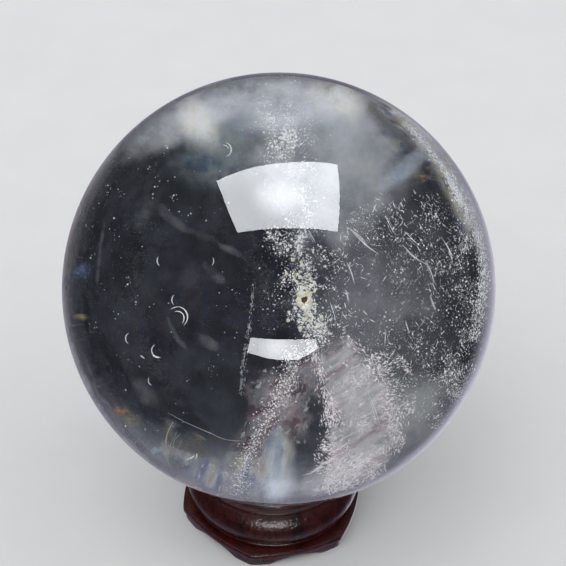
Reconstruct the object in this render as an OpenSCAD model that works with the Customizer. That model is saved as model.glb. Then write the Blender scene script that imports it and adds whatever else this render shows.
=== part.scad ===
// Natural rock-crystal ball with the features frozen inside it, resting on a small turned hardwood stand.
// Millimetres, +Z up. The origin is on the table, straight below the centre of the ball.

/* [Ball] */
// Diameter of the polished ball
ball_d = 80; // [78:0.5:82]
// Height of the ball's lowest point above the table
ball_base_z = 17; // [16.8:0.1:17.4]
// Gap left between the ball and the dished seat
seat_gap = 0.15; // [0.1:0.05:0.3]

/* [Crystal] */
// Lean of the crystal's growth axis away from the vertical, in degrees
growth_tilt = 50; // [45:1:55]
// Thickness of a healed-fracture veil
veil_t = 0.6; // [0.4:0.1:0.8]
// Thickness of an open fracture
film_t = 0.3; // [0.2:0.05:0.4]
// Radius of a needle
needle_r = 0.15; // [0.1:0.05:0.2]
// Half thickness of a crescent-shaped bruise
bruise_r = 0.15; // [0.1:0.05:0.2]

/* [Seat ring] */
// Radius of the lip that carries the ball
lip_r = 15.2; // [15:0.1:15.6]
// Height of the lip above the table
lip_z = 19.3; // [19:0.1:19.4]
// Outer radius of the swelling
swell_r = 17.5; // [17.2:0.1:17.8]
// Height of the middle of the swelling
swell_z = 8.1; // [8:0.1:8.4]
// Radius of the swelling's own curve
swell_curve = 5; // [4.8:0.1:5]
// Radius of the hole through the ring
ring_hole_r = 11; // [10.6:0.1:11.2]
// Radius of the beads above and below the swelling
bead_r = 0.5; // [0.4:0.05:0.55]
// Radius of the neck's hollow curve
neck_curve = 3; // [2.8:0.1:3.1]

/* [Foot plate] */
// Distance from the centre to a corner of the plate
corner_r = 18.9; // [18.6:0.1:19.4]
// How far each side bows out between its corners
side_bow = 1.2; // [1:0.1:1.4]
// Turn of the plate about the vertical, in degrees
plate_turn = 18.5; // [0:0.5:59.5]
// Height of the plate's top face above the table
plate_z = 3.4; // [3.3:0.05:3.5]
// Thickness of the plate's rim
rim_t = 1.3; // [1.1:0.1:1.5]
// How far the feet are set back from the rim
foot_inset = 0.6; // [0.4:0.1:0.8]
// Radius of the round recess between the feet
foot_recess_r = 14; // [13.5:0.1:14.4]
// Height of the arch between two feet
arch_h = 1.4; // [1.2:0.05:1.5]
// Width of the arch between two feet
arch_w = 11; // [10:0.5:12]
// Radius of the hole through the plate
plate_hole_r = 9; // [8.6:0.1:9.4]

/* [Glued spigot] */
// Radius of the plate's spigot
spigot_r = 12.5; // [12.2:0.1:12.6]
// Height of the spigot
spigot_h = 2; // [1.6:0.1:2.2]
// Room left around and above the spigot for glue
glue_gap = 0.1; // [0.05:0.05:0.2]

/* [Hidden] */
$fn = 96;

ball_r = ball_d / 2;
ball_z = ball_base_z + ball_r;
swell_x = swell_r - swell_curve;
neck_z = (swell_z + swell_curve + lip_z) / 2 - 0.5;
neck_r = lip_r - 1;
bead_x = lip_r + 0.6;
side_count = 6;
side_turn = 360 / side_count;
through = 1;

// The tips of each leaf-shaped veil, on the crystal's own axes from the centre of the ball:
// X to the right, Y up along the growth face and Z out through the face.
central_tips = [[-0.1, 27.8, 2.7], [5.1, -6.8, 17.3]];
wing_tips = [[3, -9.4, 13.7], [-4.4, -26.6, 2.3]];
haze_tips = [[5, 26.5, 0.8], [21.5, 13, 5]];
patch_tips = [[-14, 27, 3], [-9.5, 19.5, 5]];
rim_tips = [[22, 17.8, -4], [29.5, -6, -1]];
cloud_tips = [[20.5, -10, 9], [7.5, -27.5, 0]];
film_tips = [[-17, -18.5, 5], [-7, -23.5, 4]];
seam_tips = [[-2.3, -1.7, 16], [-3.9, -15, 13]];

// The two ends of each needle
needle_ends = [
    [[10.4, 9.9, 25.3], [15.2, 5.6, 24.6]],
    [[15.8, 11.5, 22.5], [17.3, 9, 22.8]],
    [[18.2, 8, 22.7], [22.3, 4.8, 20.7]],
    [[20.5, 9.5, 19.5], [23.5, 8.4, 17.5]],
    [[19, 3.4, 22], [21.5, 1.2, 21.5]],
    [[24.5, 2, 17.5], [26.5, -1.5, 16.5]],
    [[15.2, -7.4, 22.5], [18.6, -8.9, 20.5]]
];

// The centre of each crescent, then its radius and the direction that its middle faces
crescent_list = [
    [[-8.7, 20.9, 20.8], 0.7, 200],
    [[-18.6, 3.6, 23.3], 1.0, 170],
    [[-10.1, 4, 26.5], 0.7, 20],
    [[-16.2, -2, 24.5], 0.9, 215],
    [[-14.6, -4.6, 24.9], 1.6, 40],
    [[-23.1, -8.5, 19.1], 1.0, 0],
    [[-18.7, -10.2, 21.8], 1.3, 190],
    [[-19.4, -14.5, 19.5], 0.8, 150]
];
crescent_sweep = 200;

grain_at = [4, -1.4, 27.8];
grain_beads = 7;
grain_ring_r = 1;
grain_bead_r = 0.5;

function middle(ends) = (ends[0] + ends[1]) / 2;
function span(ends) = norm(ends[0] - ends[1]);
function lean(ends) = asin((ends[0] - ends[1]).z / span(ends));
function roll(ends) = atan2(-(ends[0] - ends[1]).x, (ends[0] - ends[1]).y);

// Puts its children on the crystal's own axes.
module in_crystal() {
    translate([0, 0, ball_z]) rotate([growth_tilt, 0, 0]) children();
}

// Lays its children's Y axis along the line between two ends.
module along(ends) {
    translate(middle(ends)) rotate([0, 0, roll(ends)]) rotate([lean(ends), 0, 0]) children();
}

// A thin pointed leaf between two tips, turned about the line that joins them.
module leaf(tips, width, thick, spin) {
    arc_r = (pow(span(tips), 2) + pow(width, 2)) / (4 * width);
    in_crystal() along(tips) rotate([0, spin, 0]) intersection() {
        translate([arc_r - width / 2, 0, 0]) cylinder(r = arc_r, h = thick, center = true);
        translate([width / 2 - arc_r, 0, 0]) cylinder(r = arc_r, h = thick, center = true);
    }
}

// A solid ring of round section: ring_radius to the middle of its section, at height z.
module bead(ring_radius, section_r, z) {
    translate([0, 0, z]) rotate_extrude() translate([ring_radius, 0]) circle(r = section_r);
}

// Six-sided slab whose sides are arcs that bow outwards.
module bowed_hexagon(corner, thick) {
    half_side = corner * sin(side_turn / 2);
    side_r = (pow(half_side, 2) + pow(side_bow, 2)) / (2 * side_bow);
    side_x = corner * cos(side_turn / 2) + side_bow - side_r;
    intersection_for(side = [0 : side_count - 1]) {
        rotate(plate_turn + (side + 0.5) * side_turn) translate([side_x, 0, 0]) cylinder(r = side_r, h = thick);
    }
}

// The turned ring: beads, a swelling and a hollow neck outside, a dished seat for the ball on top.
module seat_ring() {
    color("saddlebrown") difference() {
        union() {
            translate([0, 0, plate_z]) cylinder(r = lip_r, h = lip_z - plate_z);
            intersection() {
                bead(swell_x, swell_curve, swell_z);
                translate([0, 0, plate_z]) cylinder(r = swell_r + through, h = lip_z - plate_z);
            }
            bead(bead_x, bead_r, plate_z + bead_r + 0.05);
            bead(bead_x - 0.3, bead_r, swell_z + swell_curve - 0.3);
        }
        bead(neck_r + neck_curve, neck_curve, neck_z);
        translate([0, 0, plate_z - through]) cylinder(r = ring_hole_r, h = lip_z);
        translate([0, 0, plate_z - through]) cylinder(r = spigot_r + glue_gap, h = spigot_h + glue_gap + through);
        translate([0, 0, ball_z]) sphere(r = ball_r + seat_gap);
    }
}

// The carved plate: a thin bowed rim, six bracket feet with arches between them, and a spigot for the ring.
module foot_plate() {
    rim_z = plate_z - rim_t;
    arch_r = (pow(arch_w / 2, 2) + pow(arch_h, 2)) / (2 * arch_h);
    color("sienna") difference() {
        union() {
            translate([0, 0, rim_z]) bowed_hexagon(corner_r, rim_t);
            bowed_hexagon(corner_r - foot_inset, rim_z);
            translate([0, 0, plate_z]) cylinder(r = spigot_r, h = spigot_h);
        }
        translate([0, 0, -through]) cylinder(r = foot_recess_r, h = rim_z + through);
        translate([0, 0, -through]) cylinder(r = plate_hole_r, h = plate_z + spigot_h + 2 * through);
        for (side = [0 : side_count - 1]) {
            rotate(plate_turn + (side + 0.5) * side_turn) translate([foot_recess_r / 2, 0, arch_h - arch_r])
                rotate([0, 90, 0]) cylinder(r = arch_r, h = corner_r);
        }
    }
}

// The polished ball, with a pocket for each feature that fills it.
module quartz_ball() {
    color("aliceblue", 0.35) difference() {
        translate([0, 0, ball_z]) sphere(r = ball_r);
        mineral_grain();
        central_veil();
        wing_veil();
        upper_haze();
        milky_patch();
        rim_veil();
        lower_cloud();
        needles();
        crescents();
        fracture_film();
        seam_fracture();
    }
}

// Cream-coloured mineral grain: a knot of small beads around a sunken middle.
module mineral_grain() {
    color("wheat") in_crystal() translate(grain_at) {
        sphere(r = grain_ring_r * 0.7);
        for (i = [0 : grain_beads - 1]) {
            rotate(i * 360 / grain_beads) translate([grain_ring_r, 0, 0]) sphere(r = grain_bead_r);
        }
    }
}

module central_veil() {
    color("gainsboro") leaf(central_tips, 12, veil_t, 50);
}

module wing_veil() {
    color("thistle") leaf(wing_tips, 6, veil_t, 20);
}

module upper_haze() {
    color("lightgray") leaf(haze_tips, 10, veil_t, -20);
}

module milky_patch() {
    color("lightgray") leaf(patch_tips, 5, veil_t, 0);
}

module rim_veil() {
    color("whitesmoke") leaf(rim_tips, 7, veil_t, 40);
}

module lower_cloud() {
    color("mistyrose") leaf(cloud_tips, 14, veil_t, 10);
}

module fracture_film() {
    color("lightcyan") leaf(film_tips, 7, film_t, -20);
}

module seam_fracture() {
    color("silver") leaf(seam_tips, 3, film_t, 80);
}

// Loose fine needles.
module needles() {
    color("white") in_crystal() for (ends = needle_ends) {
        along(ends) rotate([90, 0, 0]) cylinder(r = needle_r, h = span(ends), center = true);
    }
}

// Crescent-shaped bruises under the surface.
module crescents() {
    color("white") in_crystal() for (item = crescent_list) {
        translate(item[0]) rotate(item[2] - crescent_sweep / 2)
            rotate_extrude(angle = crescent_sweep) translate([item[1], 0]) circle(r = bruise_r);
    }
}

seat_ring();
foot_plate();
quartz_ball();
mineral_grain();
central_veil();
wing_veil();
upper_haze();
milky_patch();
rim_veil();
lower_cloud();
needles();
crescents();
fracture_film();
seam_fracture();
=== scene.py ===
"""The looks of a rock-crystal ball on a turned hardwood stand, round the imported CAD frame, in metres."""

import math

import bmesh
import bpy
import numpy as np
from mathutils import Matrix, Vector, noise


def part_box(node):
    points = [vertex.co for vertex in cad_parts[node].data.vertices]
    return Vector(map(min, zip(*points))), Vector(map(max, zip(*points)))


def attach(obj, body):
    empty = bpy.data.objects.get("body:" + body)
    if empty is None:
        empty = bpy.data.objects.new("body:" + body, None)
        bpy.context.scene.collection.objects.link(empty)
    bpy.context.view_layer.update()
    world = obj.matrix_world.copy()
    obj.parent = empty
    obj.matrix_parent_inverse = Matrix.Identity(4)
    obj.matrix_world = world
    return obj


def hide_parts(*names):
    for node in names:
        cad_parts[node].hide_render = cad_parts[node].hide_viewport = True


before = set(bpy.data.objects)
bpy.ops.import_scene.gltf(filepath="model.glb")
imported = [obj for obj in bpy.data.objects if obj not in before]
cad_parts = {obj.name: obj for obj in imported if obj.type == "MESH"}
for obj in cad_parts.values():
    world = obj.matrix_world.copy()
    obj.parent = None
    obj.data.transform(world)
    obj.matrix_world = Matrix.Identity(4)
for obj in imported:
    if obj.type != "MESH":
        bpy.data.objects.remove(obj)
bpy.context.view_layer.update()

MM = 0.001
QUARTZ_IOR = 1.544
GROWTH_TILT = math.radians(50)  # lean of the crystal's growth direction from the vertical
SIZE_SPREAD = 0.7  # specks are many small and a few large: this is the spread of the sizes' logarithms
EYE = 8  # the features are placed as they look from this many ball radii in front of the growth face

ball_low, ball_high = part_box("quartz_ball")
BALL = np.array((ball_low + ball_high) / 2)
R = min(ball_high - ball_low) / 2
RIGHT = np.array([1.0, 0.0, 0.0])
UP = np.array([0.0, math.cos(GROWTH_TILT), math.sin(GROWTH_TILT)])
OUT = np.array([0.0, -math.sin(GROWTH_TILT), math.cos(GROWTH_TILT)])
AXES = np.array([RIGHT, UP, OUT])


# ---------------------------------------------------------------- places inside the crystal

def inside(a, b, depth):
    """Points inside the ball, behind the spots (a, b) of its face.

    a and b are in ball radii to the right and up, as the spots look from EYE radii away. depth is
    the share of the way through the crystal along the line of sight, which the face bends."""
    a, b, depth = np.broadcast_arrays(*(np.asarray(v, float) for v in (a, b, depth)))
    shrink = np.minimum(1, 0.985 / np.maximum(np.hypot(a, b), 1e-9))
    spread = math.tan(math.asin(1 / EYE))
    line = np.stack([a * shrink * spread, b * shrink * spread, -np.ones_like(a)], -1)
    line /= np.linalg.norm(line, axis=-1, keepdims=True)
    eye = np.array([0, 0, EYE])
    towards = line @ eye
    near = -towards - np.sqrt(np.maximum(towards**2 - EYE**2 + 1, 0))
    face = eye + near[..., None] * line
    cosine = -(line * face).sum(-1)
    ratio = 1 / QUARTZ_IOR
    turn = ratio * cosine - np.sqrt(1 - ratio**2 * (1 - cosine**2))
    bent = ratio * line + turn[..., None] * face
    chord = -2 * (bent * face).sum(-1)
    return BALL + R * ((face + (depth * chord)[..., None] * bent) @ AXES)


def smooth_path(points, count, closed=False):
    """count rows along a Catmull-Rom curve through the rows of points."""
    points = np.asarray(points, float)
    if closed:
        padded = np.vstack([points[-1], points, points[0], points[1]])
        spans = len(points)
    else:
        padded = np.vstack([2 * points[0] - points[1], points, 2 * points[-1] - points[-2]])
        spans = len(points) - 1
    t = np.linspace(0, spans, count, endpoint=not closed)
    i = np.minimum(t.astype(int), spans - 1)
    u = (t - i)[:, None]
    p0, p1, p2, p3 = (padded[i + k] for k in range(4))
    slope, bend, twist = p2 - p0, 2 * p0 - 5 * p1 + 4 * p2 - p3, 3 * p1 - p0 - 3 * p2 + p3
    return 0.5 * (2 * p1 + slope * u + bend * u**2 + twist * u**3)


# ---------------------------------------------------------------- meshes

def add_piece(name, points, faces, material, body="ball", replaces=(), smooth=False, fade=None,
              spots=None):
    """Makes a mesh piece from arrays, gives it its finish and sets what it rides on and stands for.

    fade and spots are kept on the points for the material: how near a film's middle each is, and
    its (a, b)."""
    mesh = bpy.data.meshes.new(name)
    mesh.from_pydata(np.asarray(points).tolist(), [], [list(map(int, f)) for f in faces])
    mesh.validate()
    mesh.materials.append(material)
    if smooth:
        mesh.shade_smooth()
    else:
        mesh.shade_flat()
    if fade is not None:
        attribute = mesh.attributes.new("fade", "FLOAT", "POINT")
        attribute.data.foreach_set("value", np.asarray(fade, np.float32))
    if spots is not None:
        attribute = mesh.attributes.new("spot", "FLOAT_VECTOR", "POINT")
        flat = np.column_stack([spots, np.zeros(len(spots))]).astype(np.float32)
        attribute.data.foreach_set("vector", flat.ravel())
    piece = bpy.data.objects.new(name, mesh)
    bpy.context.scene.collection.objects.link(piece)
    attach(piece, body)
    if replaces:
        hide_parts(*replaces)
    return piece


def grid_faces(rows, columns, wrap_rows=False, flip=False):
    """Quads over rings of points stored ring by ring; wrap_rows joins the last ring to the first."""
    faces = []
    for i in range(rows if wrap_rows else rows - 1):
        row, next_row = i * columns, (i + 1) % rows * columns
        for j in range(columns):
            k = (j + 1) % columns
            quad = [row + j, row + k, next_row + k, next_row + j]
            faces.append(quad[::-1] if flip else quad)
    return faces


def capped_faces(rows, columns):
    """Quads over a tube of points stored ring by ring, with a face on each end."""
    last = (rows - 1) * columns
    return grid_faces(rows, columns) + [list(range(columns))[::-1], list(range(last, last + columns))]


OCTAHEDRON = np.array([[1, 0, 0], [-1, 0, 0], [0, 1, 0], [0, -1, 0], [0, 0, 1], [0, 0, -1]], float)
OCTAHEDRON_FACES = np.array(
    [[0, 2, 4], [2, 1, 4], [1, 3, 4], [3, 0, 4], [2, 0, 5], [1, 2, 5], [3, 1, 5], [0, 3, 5]]
)


def random_turns(count, rng):
    """count rotation matrices, evenly spread over all directions."""
    q = rng.normal(size=(count, 4))
    w, x, y, z = (q / np.linalg.norm(q, axis=1, keepdims=True)).T
    return np.stack([
        np.stack([1 - 2 * (y * y + z * z), 2 * (x * y - z * w), 2 * (x * z + y * w)], -1),
        np.stack([2 * (x * y + z * w), 1 - 2 * (x * x + z * z), 2 * (y * z - x * w)], -1),
        np.stack([2 * (x * z - y * w), 2 * (y * z + x * w), 1 - 2 * (x * x + y * y)], -1),
    ], 1)


def lined_up(directions, rng):
    """Rotation matrices whose first row follows the given directions, with a random roll about them."""
    side = np.cross(directions, rng.normal(size=directions.shape))
    side /= np.linalg.norm(side, axis=1, keepdims=True)
    return np.stack([directions, side, np.cross(directions, side)], 1)


def specks(centres, sizes, rng, stretch=1.0, directions=None):
    """Tiny closed crystals: an uneven octahedron at each centre, drawn out along its direction."""
    count = len(centres)
    lengths = sizes[:, None] * rng.uniform(0.45, 1.0, (count, 3))
    lengths[:, 0] *= stretch
    turns = random_turns(count, rng) if directions is None else lined_up(directions, rng)
    shapes = (OCTAHEDRON[None] * lengths[:, None]) @ turns
    points = (shapes + centres[:, None]).reshape(-1, 3)
    faces = (OCTAHEDRON_FACES[None] + 6 * np.arange(count)[:, None, None]).reshape(-1, 3)
    return points, faces


def face_directions(angles, rng, lift=0.25):
    """Unit vectors near the growth face, at angles in radians anticlockwise from the right."""
    flat = np.stack([np.cos(angles), np.sin(angles), rng.normal(0, lift, len(angles))], -1)
    flat /= np.linalg.norm(flat, axis=1, keepdims=True)
    return flat @ AXES


def clumped(a, b, rng, grain, strength):
    """Which of the spots to keep, so that those left gather into clumps."""
    field = np.array([noise.noise(Vector((x * grain, y * grain, 3.7))) for x, y in zip(a, b)])
    return rng.uniform(size=len(a)) < np.clip(0.5 + strength * field, 0.02, 1)


def band_spots(path, count, rng):
    """Spots scattered about a line through (a, b, half width) rows, denser towards the middle."""
    line = smooth_path(path, 200)
    weight = line[:, 2] / line[:, 2].sum()
    pick = rng.choice(len(line), count, p=weight)
    step = np.gradient(line[:, :2], axis=0)
    step /= np.linalg.norm(step, axis=1, keepdims=True)
    across = np.clip(rng.normal(0, 0.55, count), -1.6, 1.6) * line[pick, 2]
    along = rng.normal(0, 0.01, count)
    a = line[pick, 0] - step[pick, 1] * across + step[pick, 0] * along
    b = line[pick, 1] + step[pick, 0] * across + step[pick, 1] * along
    return a, b


def patch_spots(centre, half_a, half_b, turn, count, rng):
    """Spots scattered over an ellipse, turned anticlockwise by turn degrees."""
    radius = np.sqrt(rng.uniform(size=count))
    angle = rng.uniform(0, 2 * math.pi, count)
    x, y = half_a * radius * np.cos(angle), half_b * radius * np.sin(angle)
    c, s = math.cos(math.radians(turn)), math.sin(math.radians(turn))
    return centre[0] + c * x - s * y, centre[1] + s * x + c * y


def cloud_mesh(outline, depth, thickness, lean=(0, 0), around=96, rings=22):
    """A closed lens behind a rounded outline of (a, b) spots: points, faces, fade and spots."""
    rim = smooth_path(outline, around, closed=True)
    centre = rim.mean(0)
    shares = np.linspace(1, 0, rings + 1)[:-1]
    spots = centre + shares[:, None, None] * (rim - centre)
    bulge = thickness / 2 * np.sqrt(1 - shares**2)[:, None]
    slope = depth + (spots[..., 0] - centre[0]) * lean[0] + (spots[..., 1] - centre[1]) * lean[1]
    fade = np.repeat((1 - shares**2)[:, None], around, 1)
    layers, faces, fades, places = [], [], [], []
    start = 0
    for side in (-1, 1):
        first = 0 if side < 0 else 1
        rows = inside(spots[..., 0], spots[..., 1], slope + side * bulge)[first:]
        tip = inside(centre[0], centre[1], depth + side * thickness / 2)[None]
        layers += [rows.reshape(-1, 3), tip]
        fades += [fade[first:].ravel(), [1.0]]
        places += [spots[first:].reshape(-1, 2), centre[None]]
        count = len(rows)
        faces += [[start + i for i in f] for f in grid_faces(count, around, flip=side > 0)]
        last, hub = start + (count - 1) * around, start + count * around
        for j in range(around):
            tri = [last + j, last + (j + 1) % around, hub]
            faces.append(tri if side < 0 else tri[::-1])
        if side > 0:
            for j in range(around):
                k = (j + 1) % around
                faces.append([start + j, start + k, k, j])
        start += count * around + 1
    return np.vstack(layers), faces, np.concatenate(fades), np.vstack(places)


def ribbon_mesh(path, depth, thickness, rows=60, sides=24):
    """A closed flat ribbon behind a line of (a, b, half width) rows, pinched at its ends."""
    line = smooth_path(path, rows)
    step = np.gradient(line[:, :2], axis=0)
    step /= np.linalg.norm(step, axis=1, keepdims=True)
    taper = np.clip(3 * np.sin(np.linspace(0, math.pi, rows)), 0.02, 1)[:, None]
    angle = np.arange(sides) * 2 * math.pi / sides
    across = line[:, 2, None] * taper * np.cos(angle)
    a = line[:, 0, None] - step[:, 1, None] * across
    b = line[:, 1, None] + step[:, 0, None] * across
    points = inside(a, b, depth + thickness / 2 * taper * np.sin(angle))
    faces = capped_faces(rows, sides)
    fade = np.sin(angle) ** 2 * np.sin(np.linspace(0, math.pi, rows))[:, None] ** 0.7
    return points.reshape(-1, 3), faces, fade.ravel(), np.stack([a, b], -1).reshape(-1, 2)


def tube(points, radii, sides=6):
    """A closed round tube along points, with a radius at each."""
    points = np.asarray(points, float)
    step = np.gradient(points, axis=0)
    step /= np.linalg.norm(step, axis=1, keepdims=True)
    side = np.cross(step, OUT)
    side /= np.linalg.norm(side, axis=1, keepdims=True)
    other = np.cross(step, side)
    angle = np.arange(sides) * 2 * math.pi / sides
    ring = side[:, None] * np.cos(angle)[:, None] + other[:, None] * np.sin(angle)[:, None]
    rows = points[:, None] + ring * np.asarray(radii)[:, None, None]
    return rows.reshape(-1, 3), capped_faces(len(points), sides)


def joined(parts):
    """Several (points, faces) as one."""
    points, faces, start = [], [], 0
    for p, f in parts:
        points.append(np.asarray(p))
        faces += [[start + int(i) for i in face] for face in f]
        start += len(p)
    return np.vstack(points), faces


# ---------------------------------------------------------------- materials

class Nodes:
    """Short calls that add nodes to a new material."""

    def __init__(self, name):
        self.material = bpy.data.materials.new(name)
        self.material.use_nodes = True
        self.tree = self.material.node_tree
        self.tree.nodes.clear()
        self.output = self.add("OutputMaterial")

    def set(self, socket, value):
        """Gives a socket a plain value, or links it to another node's output."""
        if isinstance(value, bpy.types.NodeSocket):
            self.tree.links.new(value, socket)
        else:
            socket.default_value = value

    def add(self, kind, inputs=(), **values):
        """A new node with its settings and its inputs, which come in order or by name."""
        node = self.tree.nodes.new("ShaderNode" + kind)
        for key, value in values.items():
            setattr(node, key, value)
        for key, value in inputs.items() if isinstance(inputs, dict) else enumerate(inputs):
            self.set(node.inputs[key], value)
        return node

    def out(self, kind, output, inputs=(), **values):
        """One output of a new node."""
        return self.add(kind, inputs, **values).outputs[output]

    def noise_at(self, vector, scale, detail=4.0, roughness=0.55, distortion=0.0):
        return self.out("TexNoise", "Fac", {"Vector": vector, "Scale": scale, "Detail": detail,
                "Roughness": roughness, "Distortion": distortion})

    def noise(self, scale, detail=4.0, roughness=0.55, stretch=(1, 1, 1), turn=(0, 0, 0)):
        """Noise in object space, with scale in bumps per metre."""
        place = self.out("TexCoord", "Object")
        placed = self.out("Mapping", "Vector", {"Vector": place, "Scale": stretch, "Rotation": turn})
        return self.noise_at(placed, scale, detail, roughness)

    def ramp(self, factor, stops):
        """A colour ramp through (position, colour) stops."""
        node = self.add("ValToRGB", [factor])
        elements = node.color_ramp.elements
        while len(elements) < len(stops):
            elements.new(0.5)
        for element, (position, colour) in zip(elements, stops):
            element.position = position
            element.color = (*colour, 1)
        return node.outputs["Color"]

    def maths(self, operation, *values):
        return self.out("Math", 0, values, operation=operation)

    def vectors(self, operation, *values):
        return self.out("VectorMath", "Vector", values, operation=operation)

    def scaled(self, vector, share):
        return self.out("VectorMath", "Vector", {0: vector, "Scale": share}, operation="SCALE")

    def stretch_range(self, value, low, high):
        """Goes smoothly from 0 at low to 1 at high."""
        ends = {"Value": value, "From Min": low, "From Max": high}
        return self.out("MapRange", "Result", ends, interpolation_type="SMOOTHSTEP")

    def mix(self, share, first, second):
        return self.out("MixShader", "Shader", (share, first, second))

    def finish(self, surface):
        self.set(self.output.inputs["Surface"], surface)
        return self.material


def quartz_material():
    """Clear polished quartz. Lamps shine through it, so that what it holds is lit."""
    n = Nodes("polished_quartz")
    smudge = n.stretch_range(n.noise(90, 3), 0.45, 0.8)
    glass = n.out("BsdfPrincipled", "BSDF", {
        "Base Color": (0.955, 0.975, 1.0, 1), "Transmission Weight": 1, "IOR": QUARTZ_IOR,
        "Roughness": n.maths("MULTIPLY", smudge, 0.02)})
    through = n.out("BsdfTransparent", "BSDF", {"Color": (0.86, 0.88, 0.9, 1)})
    return n.finish(n.mix(n.out("LightPath", "Is Shadow Ray"), glass, through))


def veil_material(name, tints, haze, haze_scale=4, haze_range=(0.3, 0.7), grain=0.0, grain_scale=60,
                  grain_range=(0.54, 0.62), stretch=1.0, turn=0, edge=0.5, glow=0.12):
    """Cloudy quartz as a film: smooth haze that comes and goes, with bright grain or fibres in it.

    haze and grain are the greatest covers; the scales are bumps per ball radius; turn is the way
    the fibres run in degrees; edge is how far the cover takes to build up from the rim; glow is
    painted light that the film gives off, which keeps it bright inside the crystal where little
    lamp light reaches it."""
    n = Nodes(name)
    spot = n.out("Attribute", "Vector", attribute_name="spot")
    lie = {"Vector": spot, "Rotation": (0, 0, math.radians(turn)), "Scale": (stretch, 1, 1)}
    turned = n.out("Mapping", "Vector", lie, vector_type="TEXTURE")
    broad = n.noise_at(spot, haze_scale, 5, 0.6)
    fine = n.noise_at(turned, grain_scale, 4, 0.7, 0.6)
    clumps = n.stretch_range(n.noise_at(spot, haze_scale * 3, 3, 0.6), 0.3, 0.5)
    fade = n.out("Attribute", "Fac", attribute_name="fade")
    worn = n.maths("SUBTRACT", 1, fade)
    worn_broad = n.maths("SUBTRACT", broad, n.maths("MULTIPLY", worn, 0.3))
    worn_fine = n.maths("SUBTRACT", fine, n.maths("MULTIPLY", worn, 0.1))
    haze_cover = n.maths("MULTIPLY", n.stretch_range(worn_broad, *haze_range), haze)
    grain_cover = n.maths("MULTIPLY", n.stretch_range(worn_fine, *grain_range), grain)
    grain_cover = n.maths("MULTIPLY", grain_cover, clumps)
    cover = n.maths("MULTIPLY", n.maths("MAXIMUM", haze_cover, grain_cover),
                    n.stretch_range(fade, 0.0, edge))
    tint = n.ramp(n.noise_at(turned, haze_scale * 2, 2, 0.5), tints)
    both = {"Factor": grain_cover, "A": tint, "B": (0.95, 0.95, 0.97, 1)}
    colour = n.out("Mix", "Result", both, data_type="RGBA")
    matt = n.out("BsdfDiffuse", "BSDF", [colour])
    through = n.out("BsdfTranslucent", "BSDF", [colour])
    # Painted light: the film glows in its own colour as well as being lit.
    shine = n.out("Emission", "Emission", [colour, glow])
    lit = n.out("AddShader", "Shader", (n.mix(0.5, matt, through), shine))
    return n.finish(n.mix(cover, n.out("BsdfTransparent", "BSDF"), lit))


def film_material(name, stops, cover, scale=7):
    """A thin air film in a fracture: faint interference colours and a gloss."""
    n = Nodes(name)
    spot = n.out("Attribute", "Vector", attribute_name="spot")
    tint = n.ramp(n.noise_at(spot, scale, 2), stops)
    shine = n.out("BsdfGlossy", "BSDF", {"Color": tint, "Roughness": 0.3})
    matt = n.out("BsdfDiffuse", "BSDF", [tint])
    fade = n.out("Attribute", "Fac", attribute_name="fade")
    share = n.maths("MULTIPLY", n.stretch_range(n.noise_at(spot, 14, 5), 0.35, 0.7), cover)
    share = n.maths("MULTIPLY", share, n.stretch_range(fade, 0, 0.5))
    return n.finish(n.mix(share, n.out("BsdfTransparent", "BSDF"), n.mix(0.6, shine, matt)))


def speck_material(name, stops, scale, glow):
    """Bright specks whose colour changes from speck to speck. Their glow is painted light, which keeps them
    bright inside the crystal where little lamp light reaches them.
    """
    n = Nodes(name)
    tint = n.ramp(n.noise(scale, 2), stops)
    # Painted light: the specks glow in their own colour.
    return n.finish(n.out("BsdfPrincipled", "BSDF", {"Base Color": tint, "Emission Color": tint,
            "Emission Strength": glow, "Roughness": 0.35, "IOR": 1.4}))


def wood_material(name, dark, light, turn):
    """Dark red-brown hardwood under gloss lacquer, with long grain, dark pores and a faint ripple."""
    n = Nodes(name)
    grain = n.noise(260, 6, 0.6, (1, 1, 0.12), turn)
    pores = n.noise(2600, 3, 0.6, (1, 1, 0.05), turn)
    colour = n.ramp(grain, [(0.3, dark), (0.52, light), (0.7, dark)])
    pore_tint = n.ramp(pores, [(0.36, (0.25, 0.25, 0.25)), (0.5, (1, 1, 1))])
    both = {"Factor": 1, "A": colour, "B": pore_tint}
    return n.finish(n.out("BsdfPrincipled", "BSDF", {"Base Color": n.out("Mix", "Result", both,
            data_type="RGBA", blend_type="MULTIPLY"), "Roughness": n.maths("ADD",
            n.maths("MULTIPLY", grain, 0.25), 0.25), "Specular IOR Level": 0.25, "Coat Weight": 1.0,
            "Coat Roughness": 0.2, "Normal": n.out("Bump", "Normal",
            {"Height": pores, "Strength": 0.25, "Distance": 0.08 * MM}),
            "Coat Normal": n.out("Bump", "Normal", {"Height": n.noise(1100, 3), "Strength": 0.7,
            "Distance": 0.3 * MM})}))


white_specks = speck_material("white_specks", [
    (0.36, (0.22, 0.24, 0.27)), (0.47, (0.5, 0.53, 0.56)), (0.55, (1, 1, 1)), (0.64, (0.97, 0.94, 0.85)),
    (0.72, (0.7, 0.8, 0.97))], 4200, 0.6)
# The pink of these specks is painted light: red light from the stand below, in the bottom of the ball.
stand_lit_pink_specks = speck_material("stand_lit_pink_specks", [(0.36, (0.34, 0.3, 0.32)), (0.46, (0.66, 0.6, 0.62)),
        (0.54, (0.98, 0.98, 0.98)), (0.64, (0.9, 0.84, 0.86))], 4200, 0.5)
glint = speck_material("glint", [(0.4, (1, 1, 1)), (0.7, (0.85, 0.9, 1.0))], 500, 0.4)
thread = speck_material("thread", [(0.4, (0.62, 0.66, 0.74)), (0.6, (0.85, 0.82, 0.72))], 500, 0.2)
cream = speck_material("cream", [
    (0.32, (0.7, 0.62, 0.42)), (0.46, (0.92, 0.88, 0.7)), (0.58, (0.99, 0.98, 0.92))], 1500, 0.35)
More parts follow.
